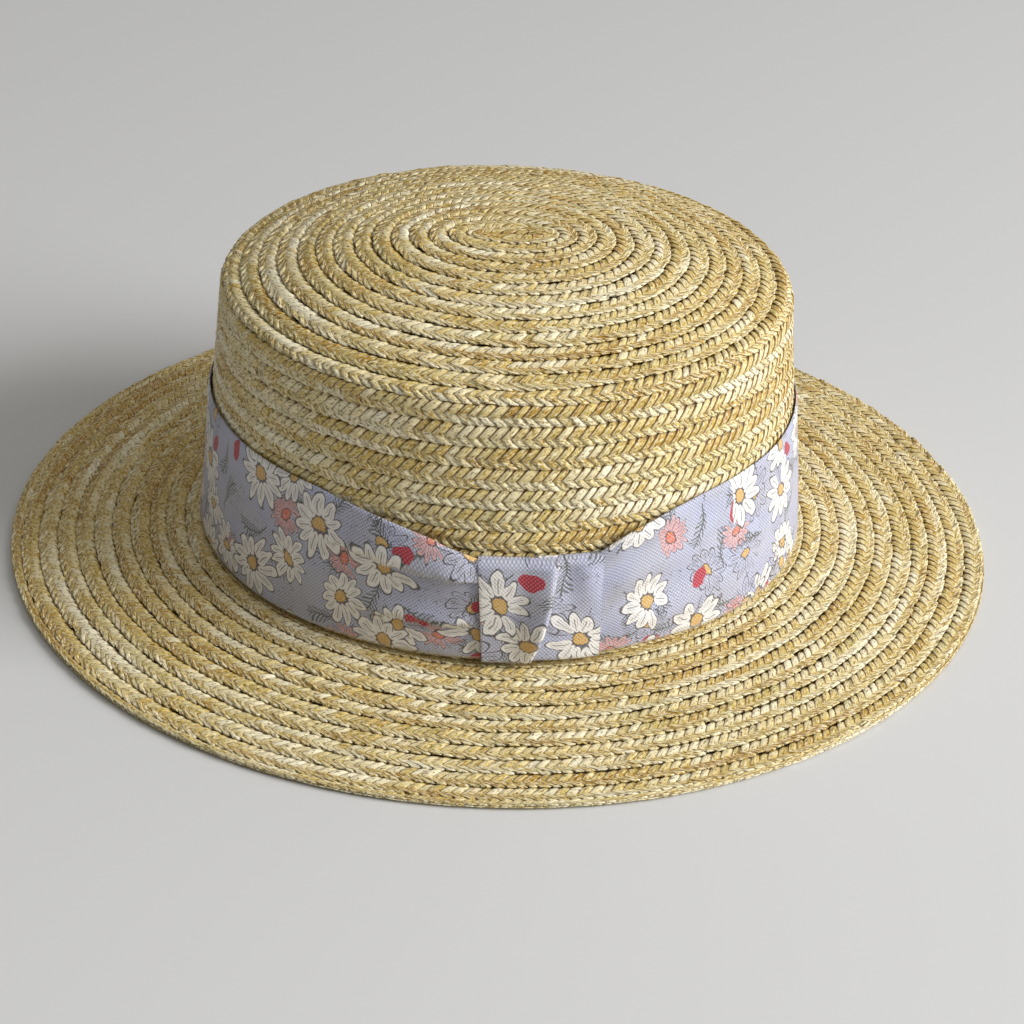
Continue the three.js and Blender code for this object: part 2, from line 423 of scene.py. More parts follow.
@dataclass(frozen=True)
class Spiral:
    """How a spiral of plait runs over a profile.

    The outer edge is at E(t) = min(edge(t), length) after t turns, where edge grows by the pitch each turn.
    start is the angle at which it begins, turns its number of turns, length the profile's length, and
    side_from the length along the profile at which the rows begin to stand on the side, if they do.
    """

    start: float
    turns: float
    edge: Callable[[Array], Array]
    length: float
    side_from: Optional[float]

    def outer(self, t: Array) -> Array:
        """Length along the profile of the row's outer edge after t turns."""
        return np.minimum(self.edge(t), self.length)

    def inner(self, t: Array) -> Array:
        """Where the row's covered inner edge lies.

        It is (1 + OVERLAP) pitches in from edge(t). In the first turn it is the profile's start, and at the
        profile's end it leaves the row LEAST_SHARE of a pitch.

        Args:
            t: turns from the spiral's start.

        Returns:
            Array: lengths along the profile.
        """
        pitch = self.edge(t) - self.edge(t - 1)
        opened = smooth(1.0, 1.12, t)
        edge = np.maximum(self.edge(t) - (1 + OVERLAP) * pitch, 0) * opened
        return np.minimum(edge, self.length - LEAST_SHARE * pitch)

    def covered(self, t: Array) -> Array:
        """How much of the row the row before it covers.

        Args:
            t: turns from the spiral's start.

        Returns:
            Array: shares of the row's width.
        """
        inner, outer = self.inner(t), self.outer(t)
        before = np.where(t >= 1, self.outer(t - 1), 0)
        return np.clip((before - inner) / (outer - inner), 0, 1)

    def side_share(self, t: Array) -> Array:
        """How far a row has turned from flat to standing on the side.

        Args:
            t: turns from the spiral's start.

        Returns:
            Array: 0 where the row lies flat, 1 where it stands.
        """
        if self.side_from is None:
            return np.zeros_like(t)
        return smooth(self.side_from, self.side_from + 8 * MM, self.edge(t))


class StrawPlait:
    """Sewn plait as one closed strip that winds over a profile, each row tucked under the one before it.

    PITCH: a splint's width along the row. FADE: how long the splints take to lean at the strip's ends.
    TUCK: how deep a covered part lies. FLATTENED: the share of its relief that a covered part loses.
    RAISED: chance in a splint's height, in millimetres. RAGGED: chance in its reach, as a share of the row.
    UNEVEN: chance in its place, in splints. TURN_STEPS: points a turn at which the spiral is measured.
    """

    PITCH = 3.25 * MM
    FADE = 9 * MM
    TUCK = 0.95 * MM
    FLATTENED = 0.38
    RAISED = 0.12
    RAGGED = 0.048
    UNEVEN = 0.14
    TURN_STEPS = 240
    HEIGHT_SEED, RAGGED_SEED, PLACE_SEED = 71, 72, 73

    def __init__(self, sizes: HatSizes, profile: Profile, spiral: Spiral, seed: int) -> None:
        """Sets the splints out along the strip.

        Args:
            sizes: sizes of the hat.
            profile: the curve that the rows are laid over.
            spiral: how the rows run over it.
            seed: seed of the small differences between splints.
        """
        self.sizes, self.profile, self.spiral = sizes, profile, spiral
        self.rng = np.random.default_rng(seed)
        self.t = np.linspace(0, spiral.turns, int(spiral.turns * self.TURN_STEPS))
        middle = 0.5 * (spiral.inner(self.t) + spiral.outer(self.t))
        radius, height = profile.at(middle, np.zeros_like(middle))
        path = sizes.oval(radius, self.angle(self.t), height)
        self.walk = np.r_[0, np.cumsum(np.linalg.norm(np.diff(path, axis=0), axis=1))]
        self.splints = int(self.walk[-1] / self.PITCH)
        self.step = self.walk[-1] / self.splints
        self.tone_in, self.tone_out = self._tones(), self._tones()

    def angle(self, t: Array) -> Array:
        """Angle about +Z, in radians, after t turns."""
        return self.spiral.start + TURN * t

    def _tones(self) -> tuple[Array, Array]:
        """Lightness and hue of each splint: runs of like straw, with a difference of its own for each.

        Returns:
            tuple[Array, Array]: values about 0 with a spread of about 1.
        """
        count = self.splints + 2
        light = 0.8 * drift(self.rng, count, 7) + 0.5 * drift(self.rng, count, 1.5)
        hue = 0.6 * drift(self.rng, count, 14) + 0.35 * drift(self.rng, count, 1)
        return light + 0.7 * self.rng.standard_normal(count), hue + 0.5 * self.rng.standard_normal(count)

    def cuts(self, pieces: int) -> Array:
        """Numbers of the splints at which the strip is cut into pieces of like length."""
        return np.linspace(0, self.splints, pieces + 1).astype(int)

    def grid(self, first: int, last: int) -> Grid:
        """The strip from one splint to another.

        A column's place along the strip is u = walk + lean(across): the splints lean one way in the inner
        part of the row and back in the outer part. A point is profile(s, lift) at
        s = inner + (outer - inner) (across + 0.12) / 1.12.

        Args:
            first: number of the first splint.
            last: number of the splint after the last one.

        Returns:
            Grid: the closed strip.
        """
        number = np.arange(first, last)
        whole = np.append((number[:, None] + np.array(COLUMNS)[None, :]).ravel(), float(last))
        part = np.append(np.tile(COLUMN_HEIGHT, len(number)), 0.0)[:, None]
        beside = np.append(np.tile(COLUMN_SIDE, len(number)), 0.0)[:, None]
        base = self._places(number) * self.step
        t0 = np.interp(base, self.walk, self.t)[:, None]
        pitch = self.spiral.edge(t0) - self.spiral.edge(t0 - 1)
        side = self.spiral.side_share(t0)
        covered = self.spiral.covered(t0)
        flat, stood = (self._section(place) for place in Place)
        across, splint, groove, full, tone, lean, notch = (a + (b - a) * side for a, b in zip(flat, stood))
        lean = lean * pitch * self._end_fade(base)[:, None]
        t = np.interp(base[:, None] + lean, self.walk, self.t)
        height = groove + (splint - groove) * part * (1 - beside * (1 - full))
        height = height + self._own(self.HEIGHT_SEED, whole)[:, None] * self.RAISED
        open_start = smooth(1.3, 0.9, t0)
        height = height * (1 - 0.6 * open_start * (across < 0.5))
        over = np.clip((covered - OVERLAP / (1 + OVERLAP)) * 1.15, 0, 1)
        lift = height * (1 - self.FLATTENED * over) * MM - self.TUCK * over
        ragged = notch * (part == 0) + self.RAGGED * self._own(self.RAGGED_SEED, whole)[:, None]
        share = (across - ragged * smooth(0.80, 1.0, across) * (1 - 0.5 * over) + OVERLAP) / (1 + OVERLAP)
        inner, outer = self.spiral.inner(t), self.spiral.outer(t)
        s = inner + (outer - inner) * np.clip(share, 0, 1)
        radius, level = self.profile.at(s, lift)
        points = self.sizes.oval(radius, self.angle(t), level)
        return Grid(points, self._uv(whole, across, pitch), self._values(number, across, height, tone))

    @staticmethod
    def _section(place: Place) -> tuple[Array, ...]:
        """A closed section, top face then underside.

        Args:
            place: where the row lies.

        Returns:
            tuple[Array, ...]: across, splint, groove, full, tone, lean in shares of the row, and scallop.
        """
        cut = SECTIONS[place]
        across = np.array(cut.across + UNDER_ACROSS)
        under = len(UNDER_ACROSS)
        rows = (across, cut.splint + UNDER_SPLINT, cut.groove + UNDER_GROOVE, cut.full + (0.8,) * under,
                cut.tone + (-0.1,) * under,
                cut.lean_in * (np.minimum(across, cut.turn_at) - cut.turn_at)
                + cut.lean_out * np.maximum(across - cut.turn_at, 0), np.full(len(across), cut.scallop))
        return tuple(np.array(row)[None, :] for row in rows)

    def _places(self, number: Array) -> Array:
        """Places of the columns along the strip, in splints: splints of slightly different widths.

        Args:
            number: numbers of the splints.

        Returns:
            Array: COLUMNS shared out between one splint's start and the next one's.
        """
        count = self.splints + 1
        chance = np.random.default_rng(self.PLACE_SEED).uniform(-1, 1, count)
        starts = np.arange(count) + self.UNEVEN * chance
        starts[0], starts[-1] = 0, self.splints
        first, after = starts[number][:, None], starts[number + 1][:, None]
        return np.append((first + (after - first) * np.array(COLUMNS)[None, :]).ravel(), after[-1])

    def _own(self, seed: int, whole: Array) -> Array:
        """A random value of each splint, about 0 with a spread of 1.

        Args:
            seed: seed of the values.
            whole: splint numbers of the columns, with their share of the next one.

        Returns:
            Array: one value for each column.
        """
        own = np.random.default_rng(seed).standard_normal(self.splints + 3)
        return own[np.floor(whole).astype(int)]

    def _end_fade(self, base: Array) -> Array:
        """0 at the strip's two ends and 1 further than the fade's length from both."""
        return smooth(0, self.FADE, base) * smooth(self.walk[-1], self.walk[-1] - self.FADE, base)

    def _uv(self, whole: Array, across: Array, pitch: Array) -> Array:
        """UV in millimetres: U across the splints, V along them.

        Args:
            whole: splint numbers of the columns.
            across: places across the row.
            pitch: width of the row.

        Returns:
            Array: U and V of each grid point, with the first column repeated at the end of V.
        """
        v = np.broadcast_to(across * pitch / MM, (len(whole), across.shape[1]))
        v = np.concatenate([v, v[:, :1]], 1)
        u = np.broadcast_to((whole * self.PITCH / MM)[:, None], v.shape)
        return np.stack([u, v], -1)

    def _values(self, number: Array, across: Array, height: Array,
                light: Array) -> dict[str, tuple[Domain, Array]]:
        """Values for the straw's material.

        Args:
            number: numbers of the splints.
            across: places across the row.
            height: heights of the grid points in millimetres.
            light: painted light and shade across the row, from the section's tone column.

        Returns:
            dict[str, tuple[Domain, Array]]: tone and hue of each face, where the first is each splint's own
                tone plus the painted light and shade across the row, and depth of each point, which is 0
                underneath and which the straw darkens as painted shade.
        """
        across = np.broadcast_to(across, height.shape)
        light = np.broadcast_to(light, height.shape)
        out = across[:-1] > SECTIONS[Place.FLAT].turn_at - 0.01
        index = np.repeat(number, len(COLUMNS))[:, None]
        tone = np.where(out, self.tone_out[0][index + 1], self.tone_in[0][index])
        hue = np.where(out, self.tone_out[1][index + 1], self.tone_in[1][index])
        # Painted light and shade across the row are added to each splint's own tone.
        tone = tone + 0.5 * (light + np.roll(light, -1, 1))[:-1]
        above = np.arange(height.shape[1]) < height.shape[1] - len(UNDER_ACROSS)
        # Depth below the row's face; the straw darkens it as painted shade.
        deep = np.clip(-height, 0, 1) * above
        return {"tone": (Domain.FACE, tone), "hue": (Domain.FACE, hue), "deep": (Domain.POINT, deep)}


class Wire:
    """A node's output, with arithmetic that makes Math nodes."""

    def __init__(self, board: "Board", socket: bpy.types.NodeSocket) -> None:
        """Holds the output.

        Args:
            board: the material that it belongs to.
            socket: the output.
        """
        self.board, self.socket = board, socket

    def _math(self, operation: str, *others: "Operand", clamp: bool = False) -> "Wire":
        """A Math node of this value and others.

        Args:
            operation: what it does.
            others: the values after this one.
            clamp: whether the result is kept from 0 to 1.

        Returns:
            Wire: the result.
        """
        node = self.board.node("ShaderNodeMath", operation=operation, use_clamp=clamp)
        for place, value in enumerate((self, *others)):
            self.board.feed(node.inputs[place], value)
        return Wire(self.board, node.outputs[0])

    def __add__(self, other: "Operand") -> "Wire":
        """Sum."""
        return self._math("ADD", other)

    def __sub__(self, other: "Operand") -> "Wire":
        """Difference."""
        return self._math("SUBTRACT", other)

    def __mul__(self, other: "Operand") -> "Wire":
        """Product."""
        return self._math("MULTIPLY", other)

    def __truediv__(self, other: "Operand") -> "Wire":
        """Quotient."""
        return self._math("DIVIDE", other)

    def below(self, limit: "Operand", soft: float) -> "Wire":
        """1 where the value is well below a limit and 0 above it, with a soft edge.

        Args:
            limit: the limit.
            soft: width of the edge.

        Returns:
            Wire: (limit - value) / soft + 0.5, kept from 0 to 1.
        """
        gap = self.board.number(limit) - self if not isinstance(limit, Wire) else limit - self
        return (gap / soft)._math("ADD", 0.5, clamp=True)

    def above(self, limit: float, soft: float) -> "Wire":
        """1 where the value is well above a limit and 0 below it, with a soft edge.

        Args:
            limit: the limit.
            soft: width of the edge.

        Returns:
            Wire: (value - limit) / soft + 0.5, kept from 0 to 1.
        """
        return ((self - limit) / soft)._math("ADD", 0.5, clamp=True)

    def near(self, middle: float, half: float, soft: float) -> "Wire":
        """1 within half of a middle value, with a soft edge.

        Args:
            middle: the middle.
            half: how far it reaches.
            soft: width of the edge.

        Returns:
            Wire: the mask.
        """
        return (self - middle).size().below(half, soft)

    def size(self) -> "Wire":
        """The value without its sign."""
        return self._math("ABSOLUTE")

    def root(self) -> "Wire":
        """Square root."""
        return self._math("SQRT")

    def rest(self) -> "Wire":
        """What is left over a whole number."""
        return self._math("FRACT")

    def sine(self) -> "Wire":
        """Sine of an angle in radians."""
        return self._math("SINE")

    def cosine(self) -> "Wire":
        """Cosine of an angle in radians."""
        return self._math("COSINE")

    def turned(self, x: "Wire") -> "Wire":
        """Angle of the point (x, this value)."""
        return self._math("ARCTAN2", x)

    def most(self, other: "Operand") -> "Wire":
        """The greater of two values."""
        return self._math("MAXIMUM", other)

    def kept(self) -> "Wire":
        """The value kept from 0 to 1."""
        return self._math("ADD", 0.0, clamp=True)


Operand = Wire | float
Colour = tuple[float, float, float]


class Board:
    """A material's nodes."""

    def __init__(self, name: str) -> None:
        """Starts a material with a plain Principled shader.

        Args:
            name: the material's name.
        """
        self.material = bpy.data.materials.new(name)
        self.material.use_nodes = True
        self.tree = self.material.node_tree
        self.shader = self.tree.nodes["Principled BSDF"]

    def node(self, kind: str, **settings: object) -> bpy.types.Node:
        """Adds a node.

        Args:
            kind: its type.
            settings: its properties.

        Returns:
            bpy.types.Node: the node.
        """
        node = self.tree.nodes.new(kind)
        for key, value in settings.items():
            setattr(node, key, value)
        return node

    def feed(self, socket: bpy.types.NodeSocket, value: "Operand | Colour") -> None:
        """Links an output to an input, or sets the input.

        Args:
            socket: the input.
            value: an output, a number or a colour.
        """
        if isinstance(value, Wire):
            self.tree.links.new(value.socket, socket)
        elif isinstance(value, tuple) and len(value) == 3 and socket.type == "RGBA":
            socket.default_value = (*value, 1.0)
        else:
            socket.default_value = value

    def number(self, value: float) -> Wire:
        """A value node.

        Args:
            value: its value.

        Returns:
            Wire: the value.
        """
        node = self.node("ShaderNodeValue")
        node.outputs[0].default_value = value
        return Wire(self, node.outputs[0])

    def attribute(self, name: str) -> Wire:
        """A value stored in the mesh."""
        node = self.node("ShaderNodeAttribute", attribute_name=name)
        return Wire(self, node.outputs["Fac"])

    def split(self, vector: Wire) -> tuple[Wire, Wire, Wire]:
        """The three parts of a vector or a colour.

        Args:
            vector: the vector or colour.

        Returns:
            tuple[Wire, Wire, Wire]: its parts.
        """
        node = self.node("ShaderNodeSeparateXYZ")
        self.feed(node.inputs[0], vector)
        return Wire(self, node.outputs[0]), Wire(self, node.outputs[1]), Wire(self, node.outputs[2])

    def join(self, x: Operand, y: Operand, z: Operand = 0.0) -> Wire:
        """A vector of three values.

        Args:
            x: first value.
            y: second value.
            z: third value.

        Returns:
            Wire: the vector.
        """
        node = self.node("ShaderNodeCombineXYZ")
        for place, value in enumerate((x, y, z)):
            self.feed(node.inputs[place], value)
        return Wire(self, node.outputs[0])

    def lay(self) -> tuple[Wire, Wire]:
        """The piece's own UV, in millimetres.

        Returns:
            tuple[Wire, Wire]: U and V.
        """
        node = self.node("ShaderNodeUVMap", uv_map="lay")
        u, v, _ = self.split(Wire(self, node.outputs[0]))
        return u, v

    def place(self) -> Wire:
        """Object coordinates, in metres."""
        return Wire(self, self.node("ShaderNodeTexCoord").outputs["Object"])

    def noise(self, vector: Wire, scale: float, detail: float = 2.0, rough: float = 0.5) -> Wire:
        """Noise about 0.5.

        Args:
            vector: where.
            scale: how fine.
            detail: how many finer layers.
            rough: how much the finer layers count.

        Returns:
            Wire: the noise.
        """
        node = self.node("ShaderNodeTexNoise")
        self.feed(node.inputs["Vector"], vector)
        for key, value in (("Scale", scale), ("Detail", detail), ("Roughness", rough)):
            node.inputs[key].default_value = value
        return Wire(self, node.outputs["Fac"])

    def cells(self, vector: Wire, uneven: float) -> tuple[Wire, Wire, Wire, Wire, Wire]:
        """The nearest of scattered middles on a unit grid.

        Args:
            vector: where, in cells.
            uneven: 0 for an even grid, 1 for scattered middles.

        Returns:
            tuple[Wire, Wire, Wire, Wire, Wire]: X and Y from the middle, and three random values of it.
        """
        node = self.node("ShaderNodeTexVoronoi", voronoi_dimensions="2D")
        self.feed(node.inputs["Vector"], vector)
        node.inputs["Scale"].default_value = 1.0
        node.inputs["Randomness"].default_value = uneven
        x, y, _ = self.split(vector)
        cx, cy, _ = self.split(Wire(self, node.outputs["Position"]))
        return x - cx, y - cy, *self.split(Wire(self, node.outputs["Color"]))

    def mix(self, share: Operand, a: "Wire | Colour", b: "Wire | Colour") -> Wire:
        """Two colours mixed.

        Args:
            share: how much of the second.
            a: first colour.
            b: second colour.

        Returns:
            Wire: the colour.
        """
        node = self.node("ShaderNodeMix", data_type="RGBA")
        self.feed(node.inputs[0], share)
        self.feed(node.inputs[6], a)
        self.feed(node.inputs[7], b)
        return Wire(self, node.outputs[2])

    def shade(self, key: str, value: "Operand | Colour") -> None:
        """Feeds an input of the Principled shader."""
        self.feed(self.shader.inputs[key], value)

    def bump(self, height: Wire, distance: float, strength: float = 1.0) -> None:
        """Feeds the shader's normal with a relief.

        Args:
            height: relief about 0 to 1.
            distance: its depth in metres.
            strength: how much it counts.
        """
        node = self.node("ShaderNodeBump")
        node.inputs["Strength"].default_value = strength
        node.inputs["Distance"].default_value = distance
        self.feed(node.inputs["Height"], height)
        self.shade("Normal", Wire(self, node.outputs[0]))


@dataclass(frozen=True)
class StrawFinish:
    """Split straw: each splint its own cream, gold or green, with fine fibres, painted shade in its grooves
    and hollows, and painted highlights along the splints.
    """

    cream: Colour = (0.70, 0.545, 0.18)
    # Pale straw; also the colour of the painted highlight along each splint and of the bright chips.
    pale: Colour = (1.0, 0.95, 0.73)
    gold: Colour = (0.46, 0.27, 0.038)
    green: Colour = (0.45, 0.40, 0.125)
    # Brown of the splints' edges; also used for painted shade along the grooves and in dark flecks.
    edge: Colour = (0.20, 0.095, 0.009)
    # The colour of painted shade in grooves, notches, holes and the darkest flecks.
    hollow_shade: Colour = (0.10, 0.043, 0.004)
    roughness: float = 0.46
    specular: float = 0.24

    def build(self) -> bpy.types.Material:
        """Makes the material.

        Returns:
            bpy.types.Material: straw that reads tone, hue, depth and UV of its piece.
        """
        board = Board("straw")
        tone, hue, deep = (board.attribute(name) for name in ("tone", "hue", "deep"))
        u, v = board.lay()
        fibre = board.noise(board.join(u * 4.2, v * 0.30), 1.0, 3.0, 0.62)
        along = board.noise(board.join(u * 0.9, v * 0.55), 1.0, 2.0)
        patch = board.noise(board.place(), 26.0, 2.0)
        side = (u / (StrawPlait.PITCH / MM)).rest()
        # Each splint's own tone, with the painted light and shade across its row, turns the straw paler or
        # more golden.
        colour = board.mix((tone * 0.34 + 0.12).kept(), self.cream, self.pale)
        colour = board.mix((tone * -0.40 - 0.04).kept(), colour, self.gold)
        greener = (hue * 0.34 + (patch - 0.5) * 1.2 - 0.10).kept()
        colour = board.mix(greener * 0.75, colour, self.green)
        amber = (hue * -0.28 + (patch - 0.5) * -0.7 - 0.16).kept()
        colour = board.mix(amber * 0.5, colour, self.gold)
        streak = (fibre - 0.5) * 1.15 + (along - 0.5) * 0.7
        # Fibre streaks, and a painted highlight: a pale line along each splint, a fifth of the way across it.
        colour = board.mix((streak * 0.9 + side.near(0.2, 0.07, 0.1) * 0.36).kept(), colour, self.pale)
        colour = board.mix((streak * -1.35).kept() * 0.95, colour, self.gold)
        # In the outer part of the row: pale chips, partly pale straw and partly painted highlight, and dark
        # chips of painted shade in the braid's holes.
        braid = v.above(3.4, 0.8)
        chips = board.noise(board.join(u * 1.15, v * 1.5), 1.0, 2.0, 0.6)
        colour = board.mix(chips.above(0.58, 0.06) * braid * 0.8, colour, self.pale)
        colour = board.mix(chips.below(0.42, 0.06) * braid * 0.65, colour, self.hollow_shade)
        # Pale flecks of pale straw; dark flecks, partly darker straw and partly painted shade of small kinks.
        fleck = board.noise(board.join(u * 1.3, v * 0.95), 1.0, 2.0, 0.65)
        colour = board.mix(fleck.above(0.59, 0.06) * 0.72, colour, self.pale)
        colour = board.mix(fleck.below(0.415, 0.06) * 0.64, colour, self.edge)
        colour = board.mix(fleck.below(0.355, 0.04) * 0.85, colour, self.hollow_shade)
        # Along each groove line: the splints' own browner edges, darkened further as painted shade in the
        # groove.
        beside = (side - 0.03).size()
        colour = board.mix(beside.below(0.07, 0.07) * (braid * -0.3 + 0.85), colour, self.edge)
        # Painted shade: dark wedges beside each groove, widest where the row comes out from under the one
        # before it, and darkening by depth below the row's face.
        wedge = (v * -0.15 + 0.17).kept()
        gap = (beside - wedge).below(0.01, 0.05)
        sunk = ((deep - 0.52) * 1.9).kept()
        colour = board.mix((sunk * 0.9 + gap * 0.88).kept(), colour, self.hollow_shade)
        board.shade("Base Color", colour)
        board.shade("Roughness", (fibre - 0.5) * 0.35 + (along - 0.5) * 0.2 + self.roughness)
        board.shade("Specular IOR Level", self.specular)
        board.bump(fibre * 0.8 + along * 0.5, 0.16 * MM, 0.7)
        return board.material


@dataclass(frozen=True)
class StrawCrown:
    """The crown: a domed top, a narrow ledge, a rounded shoulder and a leaning side, in one spiral.

    flat_pitch and side_pitch: how far apart the rows lie on the top and on the side. start: angle of the
    spiral's start. seed: seed of its chances. cut_turns: the turns past the dome's edge at which the strip
    is cut into its three pieces.
    """

    sizes: HatSizes
    flat_pitch: float = 5.85 * MM
    side_pitch: float = 6.7 * MM
    start: float = 0.754
    seed: int = 11
    cut_turns: tuple[float, float] = (0.6, 6.8)

    def profile(self) -> tuple[Profile, float]:
        """The curve under the rows, and the length along it at which the domed top ends.

        The dome's height is top - dome_rise (r / edge)^2.

        Returns:
            tuple[Profile, float]: the curve and the dome's length.
        """
        z = self.sizes
        side_start = z.side_radius(np.float64(z.side_top))
        ledge = side_start - z.shoulder_round
        edge = ledge - z.ledge_width
        r = np.linspace(0, edge, 60)
        dome = np.stack([r, z.top - z.dome_rise * (r / edge) ** 2], -1)
        turn = np.linspace(0, np.pi / 2, 14)
        round_off = np.stack([ledge + z.shoulder_round * np.sin(turn),
                              z.side_top + z.shoulder_round * np.cos(turn)], -1)
        foot = np.array([[z.foot_radius, z.brim_top + z.gap]])
        length = np.linalg.norm(np.diff(dome, axis=0), axis=1).sum()
        return Profile(np.concatenate([dome, [[edge, z.ledge_top]], round_off, foot])), float(length)

    def build(self, straw: bpy.types.Material) -> list[bpy.types.Object]:
        """Builds the crown's plait.

        Args:
            straw: its material.

        Returns:
            list[bpy.types.Object]: the pieces, from the top down.
        """
        profile, dome = self.profile()
        turned = dome / self.flat_pitch - 0.5

        def edge(t: Array) -> Array:
            """Outer edge before it is kept to the profile's length.

            It grows evenly, by the flat pitch and then by the side's. Near the dome's edge it gains at the
            back, so that the row there follows the edge.

            Args:
                t: turns from the spiral's start.

            Returns:
                Array: lengths along the profile.
            """
            wider = self.side_pitch - self.flat_pitch
            even = self.flat_pitch * (t + 0.5) + wider * np.maximum(t - turned, 0)
            held = np.exp(-((even - dome) / (11 * MM)) ** 2) * self.side_pitch / TURN
            return even - held * np.sin(TURN * (t - turned)) + wander(t) * smooth(1.0, 3.0, t)

        last = turned + (profile.length - dome) / self.side_pitch + 0.9
        spiral = Spiral(self.start, last, edge, profile.length, dome)
        plait = StrawPlait(self.sizes, profile, spiral, self.seed)
        cut = (np.interp(turned + np.array(self.cut_turns), plait.t, plait.walk) / plait.step).astype(int)
        ends = [0, *cut, plait.splints]
        names = ("straw_top", "straw_side_upper", "straw_side_lower")
        return [Piece(name, "straw", ["crown"]).make(plait.grid(a, b), straw)
                for name, a, b in zip(names, ends, ends[1:])]


@dataclass(frozen=True)
class StrawBrim:
    """The brim: a spiral that slopes down to a last row that lies flat and is two layers thick.

    pitch: how far apart the rows lie. inset: how far the first row reaches in under the crown's foot.
    flat_edge: width of the last row. start: angle of the spiral's start. seed: seed of its chances.
    """

    sizes: HatSizes
    pitch: float = 5.85 * MM
    inset: float = 2.2 * MM
    flat_edge: float = 5.8 * MM
    start: float = 2.3
    seed: int = 23

    def build(self, straw: bpy.types.Material) -> list[bpy.types.Object]:
        """Builds the brim's plait.

        Args:
            straw: its material.

        Returns:
            list[bpy.types.Object]: the inner and the outer piece.
        """
        z = self.sizes
        inner = z.foot_radius - self.inset
        flat = z.brim_radius - self.flat_edge
        profile = Profile(np.array([[inner, z.brim_top],
                                    [z.foot_radius, z.brim_top],
                                    [flat, z.rim_top + 0.4 * MM],
                                    [z.brim_radius - 0.4 * MM, z.rim_top + 0.25 * MM]]))

        def edge(t: Array) -> Array:
            """Outer edge before it is kept to the profile's length."""
            return self.pitch * (t + 0.25) + wander(t + 20) * smooth(1.0, 2.0, t)

        last = profile.length / self.pitch - 0.25 + 2.0
        plait = StrawPlait(z, profile, Spiral(self.start, last, edge, profile.length, None), self.seed)
        ends = plait.cuts(2)
        return [Piece(name, "straw", ["brim"]).make(plait.grid(a, b), straw)
                for name, a, b in zip(("straw_brim_inner", "straw_brim_outer"), ends, ends[1:])]


@dataclass(frozen=True)
class Fold:
    """A fold that runs out of the knot along the band.

    side: -1 left, 1 right. near and far: its place up the band at the knot and at its end, as shares.
    reach: its length. half: half its width as a share of the band's height. lift: how far it stands out.
    tuck: how far its lower edge hangs over the cloth below it.
    """

    side: int
    near: float
    far: float
    reach: float
    half: float
    lift: float
    tuck: float = 0.0


@dataclass(frozen=True)
class ClothSheet:
    """Shared sizes of the band and the knot.

    knot_angle: angle of the knot's middle about +Z from +X, in radians. cloth: thickness of the cloth.
    """

    sizes: HatSizes
    knot_angle: float = -1.4224
    cloth: float = 0.55 * MM
    band_width: float = 46.4 * MM
    knot_height: float = 34.0 * MM
    knot_width: float = 37.5 * MM

    @property
    def round_foot(self) -> float:
        """Radius by which an angle is turned into a length along the band."""
        return self.sizes.foot_radius + self.sizes.growth


